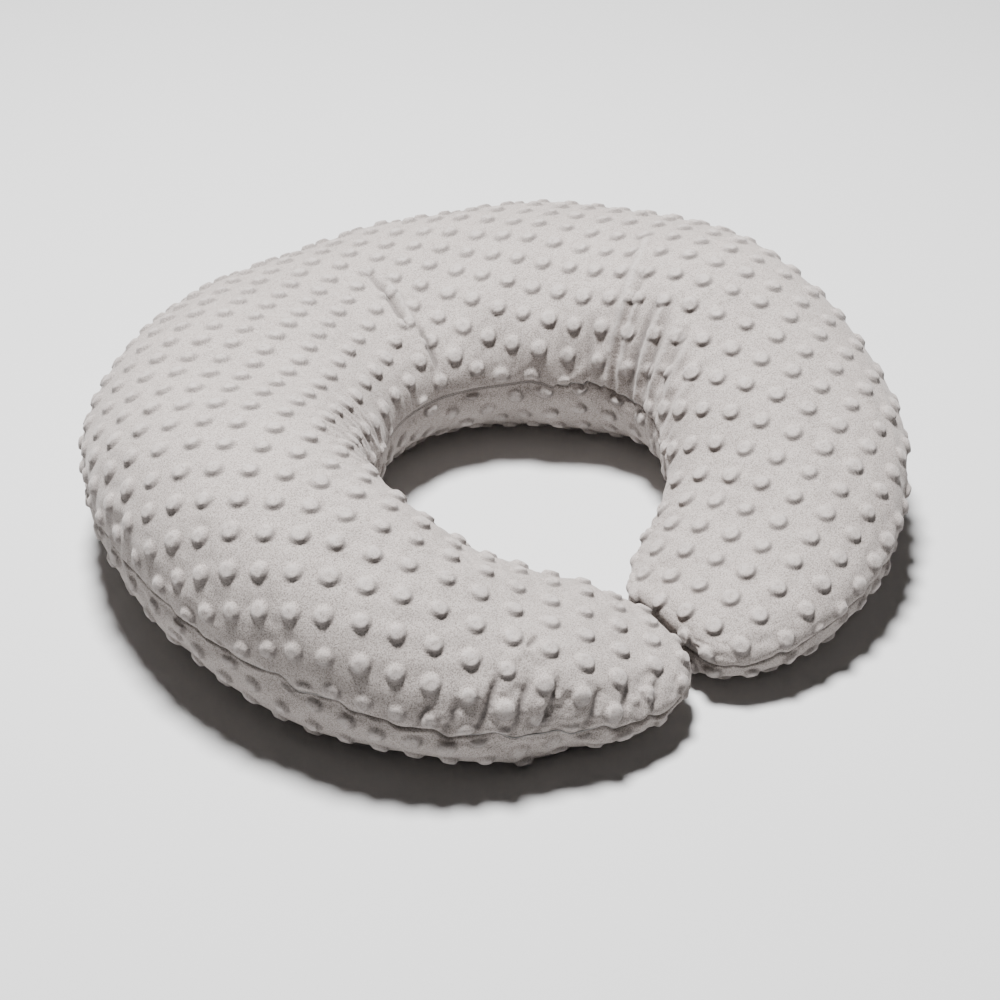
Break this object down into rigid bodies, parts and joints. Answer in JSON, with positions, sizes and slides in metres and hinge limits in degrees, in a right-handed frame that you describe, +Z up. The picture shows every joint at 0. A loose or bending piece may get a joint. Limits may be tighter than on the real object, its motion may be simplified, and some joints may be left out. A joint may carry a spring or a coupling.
{
  "type": "nursing pillow",
  "caption": "C-shaped nursing pillow: fibre fill in a sewn casing, inside a washable dimpled plush cover with a zip round the back seam. The two arms flex open.",
  "frame": {"origin": "bottom centre of the pillow's box, lying flat with the arms closed", "axes": "+Z up; +Y towards the middle of the back; -Y towards the two arm tips; +X towards the right arm"},
  "size_m": [0.535, 0.5154, 0.144],
  "materials": {
    "plush": "matte dimpled plush",
    "woven": "matte woven cotton",
    "fibre": "matte loose fibre",
    "thread": "matte thread",
    "label": "satin ribbon, blank",
    "nylon": "matte",
    "metal": "satin lacquer"
  },
  "bodies": {
    "back": {"cover_top_back": "plush", "cover_bottom_back": "plush", "cover_seam_thread_back": "thread", "casing_top_back": "woven", "casing_bottom_back": "woven", "casing_seam_thread_back": "thread", "casing_closing_stitch": "thread", "fill_back": "fibre", "cover_care_label": "label", "casing_care_label": "label", "zip_tape_upper": "nylon", "zip_tape_lower": "nylon", "zip_coil_upper": "nylon", "zip_coil_lower": "nylon", "zip_top_stops": "metal", "zip_bottom_stop": "metal"},
    "left_arm": {"cover_top_left_arm": "plush", "cover_bottom_left_arm": "plush", "cover_seam_thread_left_arm": "thread", "casing_top_left_arm": "woven", "casing_bottom_left_arm": "woven", "casing_seam_thread_left_arm": "thread", "fill_left_arm": "fibre"},
    "right_arm": {"cover_top_right_arm": "plush", "cover_bottom_right_arm": "plush", "cover_seam_thread_right_arm": "thread", "casing_top_right_arm": "woven", "casing_bottom_right_arm": "woven", "casing_seam_thread_right_arm": "thread", "fill_right_arm": "fibre"},
    "zip_slider": {"zip_slider_body": "metal"},
    "zip_pull": {"zip_pull_tab": "metal"}
  },
  "joints": [
    {"name": "left_arm_flex", "type": "hinge", "parent": "back", "child": "left_arm", "pos_m": [-0.21947, 0.1559, 0.061], "axis": [0, 0, -1], "range_deg": [0, 16], "stiffness_Nm_per_rad": 6},
    {"name": "right_arm_flex", "type": "hinge", "parent": "back", "child": "right_arm", "pos_m": [0.21947, 0.1559, 0.061], "axis": [0, 0, 1], "range_deg": [0, 16], "stiffness_Nm_per_rad": 6},
    {"name": "zip_slide", "type": "hinge", "parent": "back", "child": "zip_slider", "pos_m": [0, -0.02826, 0.061], "axis": [0, 0, 1], "range_deg": [0, 75.2]},
    {"name": "pull_tab_swing", "type": "hinge", "parent": "zip_slider", "child": "zip_pull", "pos_m": [0.17584, 0.20008, 0.061], "axis": [0, 0, -1], "range_deg": [0, 180]}
  ]
}
